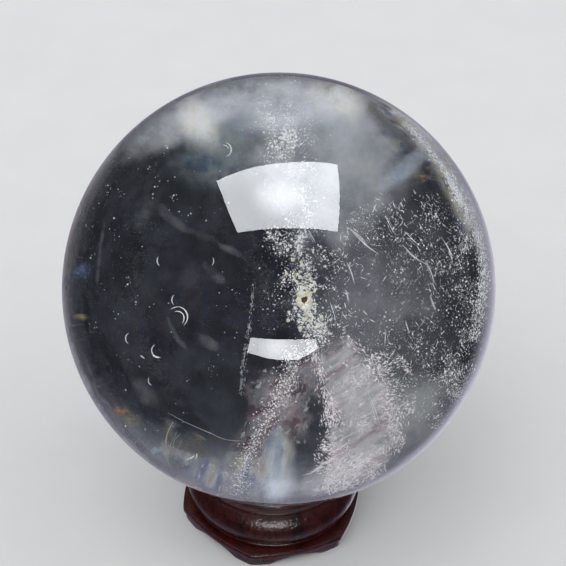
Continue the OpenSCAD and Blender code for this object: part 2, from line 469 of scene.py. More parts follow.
# Dark brown, for the ball that darkens the grain's sunken middle.
dark_brown = speck_material("dark_brown", [(0.4, (0.05, 0.03, 0.015)), (0.6, (0.22, 0.12, 0.05))], 1500, 0)


# ---------------------------------------------------------------- the ball and what it holds

def make_ball():
    """The polished ball: a finely divided sphere in place of the CAD one."""
    mesh = bpy.data.meshes.new("crystal_ball")
    bm = bmesh.new()
    bmesh.ops.create_icosphere(bm, subdivisions=6, radius=R, matrix=Matrix.Translation(Vector(BALL)))
    bm.to_mesh(mesh)
    bm.free()
    mesh.shade_smooth()
    mesh.materials.append(quartz_material())
    piece = bpy.data.objects.new("crystal_ball", mesh)
    bpy.context.scene.collection.objects.link(piece)
    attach(piece, "ball")
    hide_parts("quartz_ball")


def scatter(name, spots, depth, size, rng, material, replaces=(), stretch=1.0, angles=None):
    """A piece of specks behind the given spots, drawn out along angles (radians) if those are given.

    depth is one depth, an array of them, or their (middle, spread, lowest, highest); size is the
    (middle, largest) size of the specks in millimetres."""
    count = len(spots[0])
    if isinstance(depth, tuple):
        middle, spread, low, high = depth
        depth = np.clip(middle + rng.normal(0, spread, count), low, high)
    middle, largest = size
    sizes = np.minimum(middle * MM * np.exp(rng.normal(0, SIZE_SPREAD, count)), largest * MM)
    centres = inside(*spots, depth)
    directions = None if angles is None else face_directions(angles, rng)
    points, faces = specks(centres, sizes, rng, stretch, directions)
    add_piece(name, points, faces, material, replaces=replaces)


def stack(*spot_lists):
    """Several lists of spots as one."""
    return tuple(np.concatenate([s[k] for s in spot_lists]) for k in (0, 1))


def kept(spots, rule):
    """The spots for which rule is true."""
    return tuple(s[rule] for s in spots)


def in_ball(spots, limit=0.975):
    """The spots that lie on the face of the ball."""
    return kept(spots, np.hypot(*spots) < limit)


def film(name, shape, material, replaces=()):
    """A veil piece from what cloud_mesh or ribbon_mesh returns."""
    points, faces, fade, spots = shape
    add_piece(name, points, faces, material, replaces=replaces, smooth=True, fade=fade, spots=spots)


def veil(name, shape, slot, tints, *looks, replaces=(), **more_looks):
    """A film with a cloudy finish of its own, whose looks are those of veil_material."""
    film(name + "_film", shape, veil_material(name, tints, *looks, **more_looks), replaces)


def make_central_veil():
    """The grainy white veil that runs down the middle, with the haze it lies in."""
    rng = np.random.default_rng(11)
    path = [(-0.04, 0.96, 0.08), (-0.01, 0.8, 0.12), (0.01, 0.66, 0.13), (0.05, 0.5, 0.09),
            (0.1, 0.34, 0.07), (0.1, 0.2, 0.11), (0.12, 0.06, 0.14), (0.12, -0.05, 0.15),
            (0.14, -0.17, 0.12), (0.18, -0.27, 0.08)]
    knots = [[(-0.06, 0.66, 0.05), (0.04, 0.62, 0.06)], [(0.02, 0.8, 0.05), (0.02, 0.7, 0.05)],
             [(-0.08, 0.8, 0.03), (-0.04, 0.75, 0.03)], [(0, 0.74, 0.025), (0.04, 0.68, 0.03)],
             [(0.07, 0.15, 0.05), (0.11, -0.01, 0.05), (0.15, -0.12, 0.045)],
             [(0.1, 0.27, 0.03), (0.09, 0.17, 0.02)], [(-0.05, 0.27, 0.05), (0.02, 0.18, 0.04)],
             [(0.15, -0.1, 0.04), (0.23, -0.22, 0.05)]]
    a, b = band_spots(path, 15000, rng)
    spots = kept((a, b), clumped(a, b, rng, 15, 1.5))
    spots = stack(spots, *(band_spots(knot, 480, rng) for knot in knots))
    depth = (0.24, 0.05, 0.08, 0.42)
    scatter("central_veil_specks", spots, depth, (0.052, 0.34), rng, white_specks,
            ["central_veil"])
    veil("central_veil", ribbon_mesh(path, 0.26, 0.06), "white_veil",
         [(0.35, (0.5, 0.52, 0.56)), (0.6, (0.8, 0.82, 0.85))], 0.3, 5, (0.35, 0.75), 0.8, 50, (0.54, 0.62))


def make_wing_veil():
    """The narrow band of fine pinkish grains that slants down to the left, and the mauve film about it; the
    pink and the mauve are painted red light from the stand below.
    """
    rng = np.random.default_rng(12)
    path = [(0.1, -0.27, 0.05), (0.05, -0.43, 0.05), (0, -0.54, 0.045), (-0.07, -0.68, 0.04),
            (-0.13, -0.81, 0.04), (-0.17, -0.95, 0.05)]
    spots = in_ball(band_spots(path, 4800, rng))
    depth = (0.26, 0.03, 0.15, 0.4)
    scatter("wing_veil_specks", spots, depth, (0.046, 0.2), rng, stand_lit_pink_specks, ["wing_veil"])
    outline = [(-0.16, -0.36), (0.06, -0.29), (0.24, -0.22), (0.28, -0.4), (0.22, -0.6), (0.12, -0.78),
               (-0.08, -0.84), (-0.24, -0.78), (-0.16, -0.57)]
    # Painted light: a mauve film where red light from the stand shows in the bottom of the ball.
    veil("stand_lit_mauve_tint", cloud_mesh(outline, 0.5, 0.06), "mauve_veil",
         [(0.4, (0.3, 0.21, 0.23)), (0.48, (0.6, 0.51, 0.54)), (0.6, (0.44, 0.44, 0.49))], 0.85, 7,
         (0.22, 0.62), 0.7, 40, (0.5, 0.6), 1.6, 60, glow=0.14)


def make_haze():
    """The soft haze over the top of the ball, brightest along the rim where a film with a strong painted
    glow lies, and milky patches of painted light in it.
    """
    outline = [(-0.52, 0.72), (-0.36, 0.89), (-0.05, 0.97), (0.28, 0.935), (0.4, 0.88), (0.47, 0.77),
               (0.54, 0.64), (0.5, 0.46), (0.4, 0.3), (0.3, 0.13), (0.14, 0.22), (-0.12, 0.36),
               (-0.34, 0.55)]
    veil("upper_haze", cloud_mesh(outline, 0.36, 0.1, (0, 0.1)), "grey_haze",
         [(0.35, (0.54, 0.57, 0.62)), (0.65, (0.74, 0.76, 0.79))], 0.76, 3.2, (0.05, 0.66), 0.4, 60,
         (0.56, 0.68), glow=0.16, replaces=["upper_haze"])
    right = [(0.04, 0.5), (0.04, 0.88), (0.2, 0.965), (0.38, 0.93), (0.49, 0.87), (0.59, 0.76), (0.66, 0.62),
             (0.62, 0.46), (0.5, 0.3), (0.34, 0.16), (0.16, 0.26)]
    veil("right_haze", cloud_mesh(right, 0.3, 0.06), "grey_haze",
         [(0.35, (0.58, 0.61, 0.65)), (0.65, (0.76, 0.78, 0.8))], 0.7, 4, (0.05, 0.66), 0.4, 60,
         (0.56, 0.68), edge=0.9, glow=0.16)
    # The film along the top rim is haze with a strong painted glow.
    top = veil_material("top_rim_haze", [(0.35, (0.62, 0.64, 0.7)), (0.65, (0.8, 0.83, 0.88))], 0.95, 5,
                        (0.08, 0.62), 0.5, 50, (0.54, 0.66), 3, 0, 1.2, 0.42)
    rim = [(-0.78, 0.5, 0.05), (-0.64, 0.66, 0.1), (-0.38, 0.8, 0.18), (-0.05, 0.86, 0.18),
           (0.18, 0.85, 0.18), (0.34, 0.78, 0.16), (0.46, 0.7, 0.1)]
    film("top_rim_film", ribbon_mesh(rim, 0.35, 0.1), top)
    # Painted light: glowing milky films in place of the lamps' light seen blurred through the top of the
    # ball.
    painted_milky_light = veil_material("milky_patch", [(0.4, (0.98, 0.94, 0.84)), (0.6, (0.88, 0.9, 0.9))], 1.0, 7,
                         (0.1, 0.64), 0.3, 40, edge=1.6, glow=0.44)
    patch = [(-0.52, 0.87, 0.05), (-0.46, 0.82, 0.1), (-0.4, 0.76, 0.12), (-0.345, 0.69, 0.09),
             (-0.28, 0.61, 0.04)]
    film("milky_patch_film", ribbon_mesh(patch, 0.22, 0.03), painted_milky_light, ["milky_patch"])
    # A smaller patch of the same painted light.
    small = [(-0.6, 0.77, 0.05), (-0.54, 0.7, 0.08), (-0.48, 0.62, 0.05)]
    veil("small_patch", ribbon_mesh(small, 0.22, 0.03, rows=20), "grey_haze",
         [(0.4, (0.9, 0.88, 0.8)), (0.6, (0.8, 0.84, 0.86))], 0.28, 7, (0.1, 0.64), 0.3, 40, edge=1.6,
         glow=0.3)
    # The same painted light in a patch along the top right.
    glow = [(0.06, 0.93, 0.06), (0.24, 0.9, 0.11), (0.39, 0.82, 0.08)]
    film("right_patch_film", ribbon_mesh(glow, 0.24, 0.03, rows=30), painted_milky_light)
    outline = [(-0.58, 0.58), (-0.5, 0.46), (-0.34, 0.38), (-0.18, 0.46), (-0.08, 0.7), (-0.14, 0.9),
               (-0.3, 0.8), (-0.46, 0.7)]
    veil("blue_haze", cloud_mesh(outline, 0.26, 0.03, around=64, rings=12), "grey_haze",
         [(0.4, (0.26, 0.36, 0.48)), (0.6, (0.48, 0.54, 0.52))], 0.6, 5, (0.15, 0.65), edge=0.8, glow=0.08)


def make_lower_cloud():
    """The fibrous cloud low on the right, whose pink is painted red light from the stand below, and the
    smooth grey one beside it.
    """
    rng = np.random.default_rng(13)
    outline = [(0.17, -0.26), (0.31, -0.16), (0.46, -0.3), (0.56, -0.44), (0.62, -0.62), (0.58, -0.77),
               (0.41, -0.9), (0.22, -0.93), (0.24, -0.77), (0.22, -0.5)]
    # Its pink tints are painted light from the red stand below.
    veil("lower_cloud", cloud_mesh(outline, 0.3, 0.08), "mauve_veil",
         [(0.36, (0.54, 0.45, 0.48)), (0.5, (0.88, 0.87, 0.88)), (0.64, (0.54, 0.56, 0.6))], 0.86, 8,
         (0.1, 0.56), 1.0, 60, (0.5, 0.6), 4.5, 35, 0.5, 0.2, replaces=["lower_cloud"])
    cross = veil_material("lower_cross_fibres", [(0.4, (0.75, 0.66, 0.7)), (0.6, (0.8, 0.8, 0.84))], 0.2, 5,
                          (0.4, 0.7), 1.0, 30, (0.52, 0.59), 4.5, 120, 0.6)
    film("lower_cross_film", cloud_mesh([(0.9 * a + 0.04, 0.9 * b - 0.06) for a, b in outline], 0.36, 0.06),
         cross)
    outline = [(0.4, -0.36), (0.66, -0.32), (0.86, -0.3), (0.92, -0.38), (0.85, -0.54), (0.71, -0.71),
               (0.5, -0.86), (0.24, -0.96), (0.14, -0.88), (0.32, -0.62)]
    veil("lower_smoke", cloud_mesh(outline, 0.4, 0.06), "grey_haze",
         [(0.4, (0.5, 0.53, 0.54)), (0.6, (0.66, 0.68, 0.69))], 0.92, 4, (0.02, 0.6), 0.5, 45, (0.54, 0.66),
         edge=1.3, glow=0.22)
    outline = [(0.08, 0.5), (0.3, 0.62), (0.6, 0.6), (0.84, 0.4), (0.93, 0.1), (0.9, -0.25), (0.78, -0.55),
               (0.5, -0.8), (0.2, -0.9), (0.12, -0.5), (0.06, -0.2), (0.04, 0.2)]
    veil("right_mist", cloud_mesh(outline, 0.5, 0.08), "grey_haze",
         [(0.4, (0.42, 0.44, 0.5)), (0.6, (0.56, 0.56, 0.6))], 0.48, 3, (0.1, 0.8), 0.3, 60, (0.56, 0.66))
    outline = [(0.22, 0.36), (0.36, 0.46), (0.52, 0.34), (0.56, 0.08), (0.62, -0.22), (0.56, -0.38),
               (0.3, -0.3), (0.2, -0.05), (0.2, 0.15)]
    veil("middle_mist", cloud_mesh(outline, 0.42, 0.05), "grey_haze",
         [(0.4, (0.42, 0.44, 0.5)), (0.6, (0.56, 0.56, 0.6))], 0.4, 4, (0.1, 0.7), 0.4, 60, (0.56, 0.66),
         edge=1.0)
    foot = [(0.1, -0.93, 0.05), (0.26, -0.86, 0.1), (0.4, -0.8, 0.12), (0.55, -0.7, 0.08)]
    veil("bottom_haze", ribbon_mesh(foot, 0.28, 0.06), "grey_haze",
         [(0.4, (0.7, 0.72, 0.76)), (0.6, (0.85, 0.85, 0.87))], 0.5, 5, (0.2, 0.7), 1.0, 34, (0.5, 0.58), 3,
         20, glow=0.3)
    arm = [(0.16, -0.26, 0.035), (0.21, -0.38, 0.035), (0.25, -0.53, 0.04), (0.27, -0.7, 0.035),
           (0.28, -0.87, 0.04)]
    edge = [(0.3, -0.2, 0.03), (0.42, -0.3, 0.035), (0.5, -0.42, 0.035), (0.55, -0.55, 0.03)]
    spots = patch_spots((0.42, -0.61), 0.2, 0.36, -22, 9500, rng)
    spots = kept(spots, clumped(*spots, rng, 12, 1.2))
    spots = stack(spots, band_spots(arm, 1100, rng), band_spots(edge, 350, rng),
                  patch_spots((0.38, -0.86), 0.16, 0.07, 20, 1400, rng))
    spots = in_ball(spots)
    count = len(spots[0])
    sway = np.array([noise.noise(Vector((5 * a, 5 * b, 0.5))) for a, b in zip(*spots)])
    angles = math.radians(35) + 3 * sway + rng.normal(0, 0.35, count)
    depth = (0.27, 0.03, 0.15, 0.4)
    scatter("lower_cloud_specks", spots, depth, (0.042, 0.13), rng, stand_lit_pink_specks, stretch=4.2,
            angles=angles)


def make_foot_shimmer():
    """Painted light low in the ball: blotches of pale, blue and straw light and small coloured sparks, as
    glowing films inside the crystal.
    """
    # Painted light: a shimmering film in place of the bright room seen through the bottom of the ball.
    path = [(-0.56, -0.7, 0.03), (-0.46, -0.78, 0.05), (-0.32, -0.84, 0.08), (-0.14, -0.86, 0.13),
            (0.08, -0.89, 0.1)]
    veil("foot_shimmer", ribbon_mesh(path, 0.4, 0.05), "grey_haze",
         [(0.36, (0.26, 0.26, 0.5)), (0.45, (0.46, 0.54, 0.68)), (0.53, (0.82, 0.84, 0.86)),
          (0.61, (0.78, 0.74, 0.6)), (0.7, (0.6, 0.48, 0.5))], 0.75, 7, (0.25, 0.6), 0.8, 34, (0.54, 0.62),
         2.4, 80, glow=0.24)
    # Painted light: small spots of colour where light split into its colours shows near the rim.
    sparks = {"orange": ((-0.71, -0.59), 0.05, 0.035, (0.8, 0.4, 0.2), 0.5),
              "olive": ((-0.655, -0.62), 0.07, 0.05, (0.5, 0.48, 0.28), 0.45),
              "yellow": ((-0.905, -0.16), 0.05, 0.022, (0.66, 0.56, 0.28), 0.4),
              "blue": ((-0.91, 0.05), 0.06, 0.06, (0.2, 0.28, 0.5), 0.3),
              "cyan": ((-0.54, -0.755), 0.045, 0.035, (0.6, 0.8, 0.85), 0.8)}
    for tint, (centre, half_a, half_b, colour, cover) in sparks.items():
        angle = np.arange(8) * math.pi / 4
        outline = np.column_stack([centre[0] + half_a * np.cos(angle), centre[1] + half_b * np.sin(angle)])
        dim = tuple(0.5 * c for c in colour)
        spark = veil_material(f"{tint}_spark", [(0.4, dim), (0.55, colour)], cover, 14, (0.2, 0.6), 0.4, 60,
                              edge=1.0, glow=0.25)
        film(f"{tint}_spark", cloud_mesh(outline, 0.3, 0.02, around=40, rings=8), spark)
    # Painted light: a bright column in place of lamp light seen through the bottom of the ball.
    path = [(0.05, -0.54, 0.05), (0.035, -0.7, 0.085), (0.015, -0.84, 0.11), (0.01, -0.97, 0.1)]
    veil("foot_column", ribbon_mesh(path, 0.44, 0.04), "grey_haze",
         [(0.4, (0.55, 0.65, 0.78)), (0.55, (0.85, 0.9, 0.94)), (0.66, (0.75, 0.72, 0.6))], 0.85, 8,
         (0.12, 0.56), 0.3, 30, stretch=4, turn=84, edge=1.7, glow=0.36)


def make_right_side():
    """The field of grains and short fibres on the right, thickening to a bright veil along the rim that is
    partly painted light.
    """
    rng = np.random.default_rng(14)
    spots = patch_spots((0.61, -0.04), 0.38, 0.55, 8, 13500, rng)
    spots = in_ball(kept(spots, clumped(*spots, rng, 8, 2.6)))
    calm = np.hypot((spots[0] - 0.4) / 0.22, (spots[1] + 0.08) / 0.3) < rng.uniform(0.6, 1.3, len(spots[0]))
    spots = kept(spots, ~(calm & (rng.uniform(size=len(calm)) < 0.6)))
    line = [(0.8, 0.33, 0.05), (0.86, 0.2, 0.08), (0.88, 0.02, 0.08), (0.86, -0.19, 0.09),
            (0.82, -0.37, 0.11), (0.8, -0.5, 0.06), (0.72, -0.6, 0.05)]
    thick = band_spots(line, 9000, rng)
    thick = in_ball(kept(thick, clumped(*thick, rng, 14, 1.6)))
    spots = stack(spots, thick, band_spots([(0.78, -0.28, 0.04), (0.84, -0.36, 0.07), (0.82, -0.47, 0.05)],
            1000, rng))
    count = len(spots[0])
    depth = (0.2, 0.07, 0.04, 0.45)
    scatter("right_field_specks", spots, depth, (0.043, 0.26), rng, white_specks)
    spots = patch_spots((0.58, 0.02), 0.36, 0.46, 8, 1500, rng)
    spots = in_ball(kept(spots, clumped(*spots, rng, 6, 1.6)), 0.93)
    count = len(spots[0])
    angles = np.where(rng.uniform(size=count) < 0.6, -0.75, 1.1) + rng.normal(0, 0.35, count)
    scatter("right_field_fibres", spots, 0.17, (0.04, 0.09), rng, white_specks, stretch=9,
            angles=angles)
    outline = [(0.3, 0.3), (0.5, 0.36), (0.7, 0.38), (0.86, 0.3), (0.94, 0.1), (0.93, -0.12), (0.88, -0.34),
               (0.74, -0.5), (0.56, -0.44), (0.38, -0.3), (0.3, -0.1), (0.28, 0.1)]
    veil("right_field", cloud_mesh(outline, 0.24, 0.06), "white_veil",
         [(0.4, (0.5, 0.53, 0.57)), (0.6, (0.7, 0.72, 0.75))], 0.22, 5, (0.42, 0.75), 0.65, 55, (0.55, 0.62),
         1.5, 60, 0.7)
    # The bright film along the right rim is partly a real veil and partly painted light, in place of light
    # the rim reflects.
    rim = [(0.42, 0.86, 0.02), (0.56, 0.785, 0.03), (0.68, 0.68, 0.035), (0.78, 0.565, 0.035),
           (0.86, 0.44, 0.035), (0.92, 0.27, 0.035), (0.95, 0.1, 0.035), (0.955, -0.1, 0.03),
           (0.93, -0.28, 0.03)]
    veil("rim_veil", ribbon_mesh(rim, 0.2, 0.08, rows=90), "white_veil",
         [(0.35, (0.6, 0.59, 0.67)), (0.65, (0.8, 0.79, 0.83))], 0.9, 8, (0.06, 0.56), 0.9, 40, (0.5, 0.6),
         2, 0, 1.3, 0.2, replaces=["rim_veil"])
    ridge = [(0.56, 0.78, 0.012), (0.655, 0.69, 0.018), (0.755, 0.57, 0.022), (0.82, 0.455, 0.03),
             (0.895, 0.32, 0.022), (0.94, 0.14, 0.025), (0.935, -0.02, 0.03), (0.91, -0.2, 0.03)]
    spots = in_ball(band_spots(ridge, 5200, rng), 0.98)
    count = len(spots[0])
    scatter("rim_veil_specks", spots, (0.12, 0.03, 0.03, 0.3), (0.085, 0.26), rng, white_specks)


def make_stray_specks():
    """Lone specks through the clear left half."""
    rng = np.random.default_rng(15)
    spots = patch_spots((-0.5, 0.02), 0.46, 0.74, -8, 420, rng)
    spots = kept(spots, clumped(*spots, rng, 5, 1.8))
    knots = [(-0.8, 0.43), (-0.74, 0.42), (-0.88, 0.26), (-0.76, 0.23), (-0.87, 0.14), (-0.6, 0.55),
             (-0.58, 0.47), (-0.5, 0.4), (-0.82, -0.02), (-0.7, 0.02), (-0.66, -0.08), (-0.85, -0.2),
             (-0.74, -0.14), (-0.3, -0.36), (-0.42, 0.35), (-0.55, 0.62)]
    spots = in_ball(stack(spots, *(patch_spots(knot, 0.02, 0.03, 0, 9, rng) for knot in knots)), 0.95)
    count = len(spots[0])
    scatter("stray_specks", spots, rng.uniform(0.05, 0.4, count), (0.06, 0.2), rng, white_specks)


def make_soft_streaks():
    """Faint out-of-focus streaks and wisps deep in the clear part."""
    pale = veil_material("soft_streaks", [(0.4, (0.35, 0.4, 0.5)), (0.6, (0.5, 0.5, 0.48))], 0.32, 9,
                         (0.2, 0.75), glow=0.1)
    streaks = [
        [(-0.66, 0.42, 0.02), (-0.58, 0.37, 0.035), (-0.5, 0.3, 0.03), (-0.4, 0.25, 0.025),
         (-0.26, 0.2, 0.02)],
        [(-0.8, 0.36, 0.01), (-0.825, 0.2, 0.012), (-0.835, 0.05, 0.012), (-0.84, -0.05, 0.01)],
        [(-0.9, 0.35, 0.012), (-0.87, 0.42, 0.018), (-0.84, 0.48, 0.01)],
        [(-0.68, 0.24, 0.03), (-0.62, 0.34, 0.05), (-0.56, 0.4, 0.03)],
        [(-0.36, 0.12, 0.02), (-0.3, 0.06, 0.035), (-0.24, 0.02, 0.02)],
        [(-0.3, 0.2, 0.01), (-0.22, 0.17, 0.022), (-0.14, 0.13, 0.012)],
        [(-0.66, -0.42, 0.03), (-0.59, -0.5, 0.06), (-0.52, -0.56, 0.03)],
        [(-0.38, -0.2, 0.02), (-0.31, -0.26, 0.035), (-0.25, -0.28, 0.02)],
        [(-0.52, -0.12, 0.01), (-0.46, -0.24, 0.016), (-0.4, -0.3, 0.01)],
    ]
    for i, path in enumerate(streaks):
        film(f"soft_streak_{i + 1}", ribbon_mesh(path, 0.45, 0.02, rows=32, sides=12), pale)
    outline = [(-0.34, 0.46), (-0.6, 0.46), (-0.84, 0.3), (-0.92, 0), (-0.86, -0.32), (-0.66, -0.6),
               (-0.36, -0.66), (-0.14, -0.5), (-0.14, -0.1), (-0.18, 0.26)]
    veil("left_mist", cloud_mesh(outline, 0.5, 0.04), "grey_haze",
         [(0.36, (0.3, 0.24, 0.22)), (0.48, (0.3, 0.33, 0.36)), (0.6, (0.28, 0.26, 0.4))], 0.17, 6,
         (0.35, 0.75), stretch=2, turn=75, edge=1.0, glow=0.06)


def make_needles():
    """Bright needles, some frayed, in and beside the right-hand field."""
    rng = np.random.default_rng(16)
    lines = [
        [(0.33, 0.28), (0.4, 0.22), (0.46, 0.18)], [(0.31, 0.3), (0.36, 0.26), (0.41, 0.21)],
        [(0.48, 0.36), (0.505, 0.31), (0.53, 0.27)], [(0.56, 0.23), (0.62, 0.17), (0.68, 0.13)],
        [(0.67, 0.16), (0.7, 0.1), (0.715, 0.05)], [(0.74, 0.27), (0.78, 0.21), (0.8, 0.14)],
        [(0.5, -0.17), (0.505, -0.24)], [(0.59, -0.12), (0.61, -0.18)],
        [(0.31, 0.14), (0.335, 0.09), (0.35, 0.04)],
        [(0.24, -0.05), (0.27, -0.12)], [(0.31, 0.01), (0.33, -0.05)],
        [(0.57, 0.29), (0.6, 0.26), (0.62, 0.24)],
        [(0.58, 0.26), (0.61, 0.25), (0.64, 0.22)], [(0.42, -0.44), (0.46, -0.53), (0.49, -0.62)],
        [(0.46, -0.33), (0.5, -0.36)], [(0.52, -0.3), (0.545, -0.25)], [(0.35, -0.38), (0.4, -0.44)],
        [(0.7, 0.0), (0.73, -0.07)], [(0.11, 0.3), (0.12, 0.24)], [(0.13, 0.28), (0.16, 0.22)],
    ]
    parts = []
    for line in lines:
        spots = smooth_path(line, 16)
        length = np.hypot(*(spots[-1] - spots[0]))
        direction = (spots[-1] - spots[0]) / length
        for strand in range(4):
            start = rng.uniform(0, 0.3) if strand else 0
            u = np.linspace(start, 1 if not strand else rng.uniform(0.6, 1), 16)
            path = np.column_stack([np.interp(u, np.linspace(0, 1, 16), spots[:, k]) for k in (0, 1)])
            off = rng.normal(0, 0.0035) if strand else 0
            path += np.outer(off + rng.normal(0, 0.004) * u, (-direction[1], direction[0]))
            depth = 0.14 + rng.normal(0, 0.01) + np.linspace(0, rng.uniform(-0.05, 0.05), 16)
            widest = (0.042 if strand == 0 else 0.018) * MM
            radii = widest * (0.2 + np.sin(np.linspace(0.15, math.pi - 0.1, 16)))
            parts.append(tube(inside(path[:, 0], path[:, 1], depth), radii, 5))
    points, faces = joined(parts)
    add_piece("needle_bundle", points, faces, glint, replaces=["needles"], smooth=True)


def crescent(centre, radius, facing, sweep, width):
    """A thin crescent shell, in ball radii: widest in its middle, and pointed at its ends."""
    count = 24
    t = np.linspace(-0.5, 0.5, count)
    angle = np.radians(facing) + t * np.radians(sweep)
    wide = 0.5 * width * np.cos(t * math.pi) + 0.001
    rows = []
    for share, lift in ((1, 0), (0, 0.006), (-1, 0), (0, -0.006)):
        rim = radius - wide / 2 + share * wide / 2
        a, b = centre[0] + rim * np.cos(angle), centre[1] + rim * np.sin(angle)
        rows.append(inside(a, b, 0.15 + lift * np.cos(t * math.pi)))
    points = np.stack(rows, 1).reshape(-1, 3)
    return points, capped_faces(count, 4)


def make_crescents():
    """The little moon-shaped bruises: each centre, radius, way it faces, sweep and width."""
    items = [
        ((-0.269, 0.637), 0.032, 5, 170, 0.01), ((-0.275, 0.635), 0.024, 60, 90, 0.006),
        ((-0.54, 0.115), 0.026, 190, 110, 0.008), ((-0.327, 0.122), 0.026, -5, 90, 0.006),
        ((-0.464, -0.063), 0.028, 178, 110, 0.008), ((-0.458, -0.14), 0.047, 20, 150, 0.011),
        ((-0.46, -0.145), 0.032, 60, 120, 0.008), ((-0.462, -0.147), 0.034, 0, 90, 0.009),
        ((-0.465, -0.13), 0.036, 110, 60, 0.006), ((-0.672, -0.248), 0.027, 180, 130, 0.008),
        ((-0.547, -0.299), 0.03, 200, 170, 0.008), ((-0.545, -0.302), 0.032, 255, 80, 0.011),
        ((-0.63, -0.352), 0.028, 55, 55, 0.009), ((-0.565, -0.439), 0.022, 200, 120, 0.006),
        ((-0.392, -0.762), 0.035, -60, 80, 0.012), ((-0.367, -0.777), 0.02, -10, 90, 0.01),
    ]
    points, faces = joined([crescent(*item) for item in items])
    add_piece("crescent_bruises", points, faces, glint, replaces=["crescents"], smooth=True)


def make_fractures():
    """A healed fracture low on the left, with its bright edge, and the beaded seam left of the middle."""
    rng = np.random.default_rng(17)
    stops = [(0.3, (0.3, 0.45, 0.7)), (0.42, (0.6, 0.66, 0.7)), (0.52, (0.7, 0.68, 0.45)),
             (0.62, (0.6, 0.4, 0.3)), (0.72, (0.3, 0.6, 0.55))]
    air = film_material("fracture_film", stops, 0.5)
    outline = [(-0.52, -0.6), (-0.4, -0.65), (-0.3, -0.7), (-0.3, -0.8), (-0.38, -0.86), (-0.47, -0.86),
               (-0.51, -0.75)]
    film("fracture_sheet", cloud_mesh(outline, 0.2, 0.02, around=64, rings=12), air,
         ["fracture_film"])
    stripes = [[(0.37, 0.88, 0.03), (0.45, 0.83, 0.07), (0.51, 0.76, 0.08), (0.56, 0.68, 0.06),
                (0.62, 0.6, 0.03)], [(0.52, 0.47, 0.02), (0.6, 0.53, 0.04), (0.68, 0.57, 0.05),
                                     (0.75, 0.53, 0.03)]]
    rainbow = film_material("rainbow_stripes", [(0.36, (0.06, 0.1, 0.34)), (0.45, (0.3, 0.42, 0.55)),
            (0.51, (0.62, 0.6, 0.35)), (0.56, (0.42, 0.28, 0.2)), (0.64, (0.2, 0.16, 0.34))], 0.5, 16)
    for i, path in enumerate(stripes):
        film(f"rainbow_stripe_{i + 1}", ribbon_mesh(path, 0.3, 0.02), rainbow)
    veil("pale_bar", ribbon_mesh([(0.4, 0.44, 0.04), (0.56, 0.575, 0.06), (0.74, 0.73, 0.04)], 0.24, 0.02,
                                 30), "grey_haze", [(0.4, (0.56, 0.64, 0.76)), (0.6, (0.74, 0.78, 0.84))],
         0.75, 6, (0.1, 0.6), edge=1.5, glow=0.2)
    edges = [([(-0.49, -0.585), (-0.4, -0.628), (-0.3, -0.668), (-0.22, -0.698), (-0.128, -0.703)], 0.05,
              0.4), ([(-0.465, -0.625), (-0.49, -0.685), (-0.494, -0.745), (-0.483, -0.81),
                      (-0.457, -0.868)], 0.12, 0.3), ([(-0.445, -0.67), (-0.475, -0.74), (-0.48, -0.8),
            (-0.455, -0.86)], 0.04, 0.3), ([(-0.43, -0.68), (-0.455, -0.71), (-0.46, -0.75)], 0.03, 0.3),
             ([(-0.42, -0.71), (-0.44, -0.75)], 0.03, 0.3)]
    parts = []
    for line, radius, blunt in edges:
        spots = smooth_path(line, 48)
        shape = blunt + (1 - blunt) * np.sin(np.linspace(0, math.pi, 48))
        radii = radius * MM * shape * rng.uniform(0.7, 1.2, 48)
        parts.append(tube(inside(spots[:, 0], spots[:, 1], 0.15), radii))
    points, faces = joined(parts)
    add_piece("fracture_edges", points, faces, thread, smooth=True)
    seam = [(-0.104, 0.09), (-0.115, 0.03), (-0.123, -0.11), (-0.138, -0.24), (-0.152, -0.37),
            (-0.157, -0.5)]
    line = smooth_path(seam, 400)
    lanes = np.array([-0.006, 0, 0.003, 0.012])
    lane = rng.choice(4, 900, p=[0.25, 0.4, 0.2, 0.15])
    pick = rng.integers(0, 400, 900)
    a = line[pick, 0] + lanes[lane] + rng.normal(0, 0.002, 900)
    b = line[pick, 1] + rng.normal(0, 0.003, 900)
    spots = kept((a, b), clumped(a * 0.3, b, rng, 16, 1))
    count = len(spots[0])
    angles = math.radians(82) + rng.normal(0, 0.12, count)
    scatter("seam_streaks", spots, 0.17, (0.022, 0.055), rng, thread, ["seam_fracture"],
            stretch=6, angles=angles)


def make_grain():
    """The cream grain: lumps round a dark sunken middle, with crumbs trailing above and below."""
    rng = np.random.default_rng(18)
    lumps = []
    for i in range(16):
        angle = i * 2 * math.pi / 16
        reach = rng.uniform(0.8, 1.15)
        a, b = 0.122 + 0.027 * reach * math.cos(angle), -0.045 + 0.034 * reach * math.sin(angle)
        lumps.append((a, b, rng.uniform(0.26, 0.52)))
    crumbs = [((0.15, 0.03), 0.03, 26), ((0.16, -0.13), 0.04, 40), ((0.1, 0.09), 0.035, 16)]
    for (a, b), spread, count in crumbs:
        lumps += [(a + rng.normal(0, spread), b + rng.normal(0, spread),
                   rng.uniform(0.1, 0.3)) for _ in range(count)]
    ball = bmesh.new()
    bmesh.ops.create_icosphere(ball, subdivisions=2, radius=1)
    shape = np.array([v.co for v in ball.verts])
    faces = [[v.index for v in f.verts] for f in ball.faces]
    ball.free()
    parts = []
    for i, (a, b, size) in enumerate(lumps):
        bumps = np.array([noise.noise(Vector(2.2 * p) + Vector((9 * i, 0, 0))) for p in shape])
        parts.append((size * MM * shape * (1 + 0.45 * bumps)[:, None] + inside(a, b, 0.15), faces))
    points, faces = joined(parts)
    add_piece("cream_grain", points, faces, cream, replaces=["mineral_grain"], smooth=True)
    # A dark brown ball sunk in the middle of the lumps, which darkens it.
    core = 0.5 * MM * shape + inside(0.124, -0.04, 0.165)
    add_piece("grain_core", core, faces[:len(parts[0][1])], dark_brown, smooth=True)


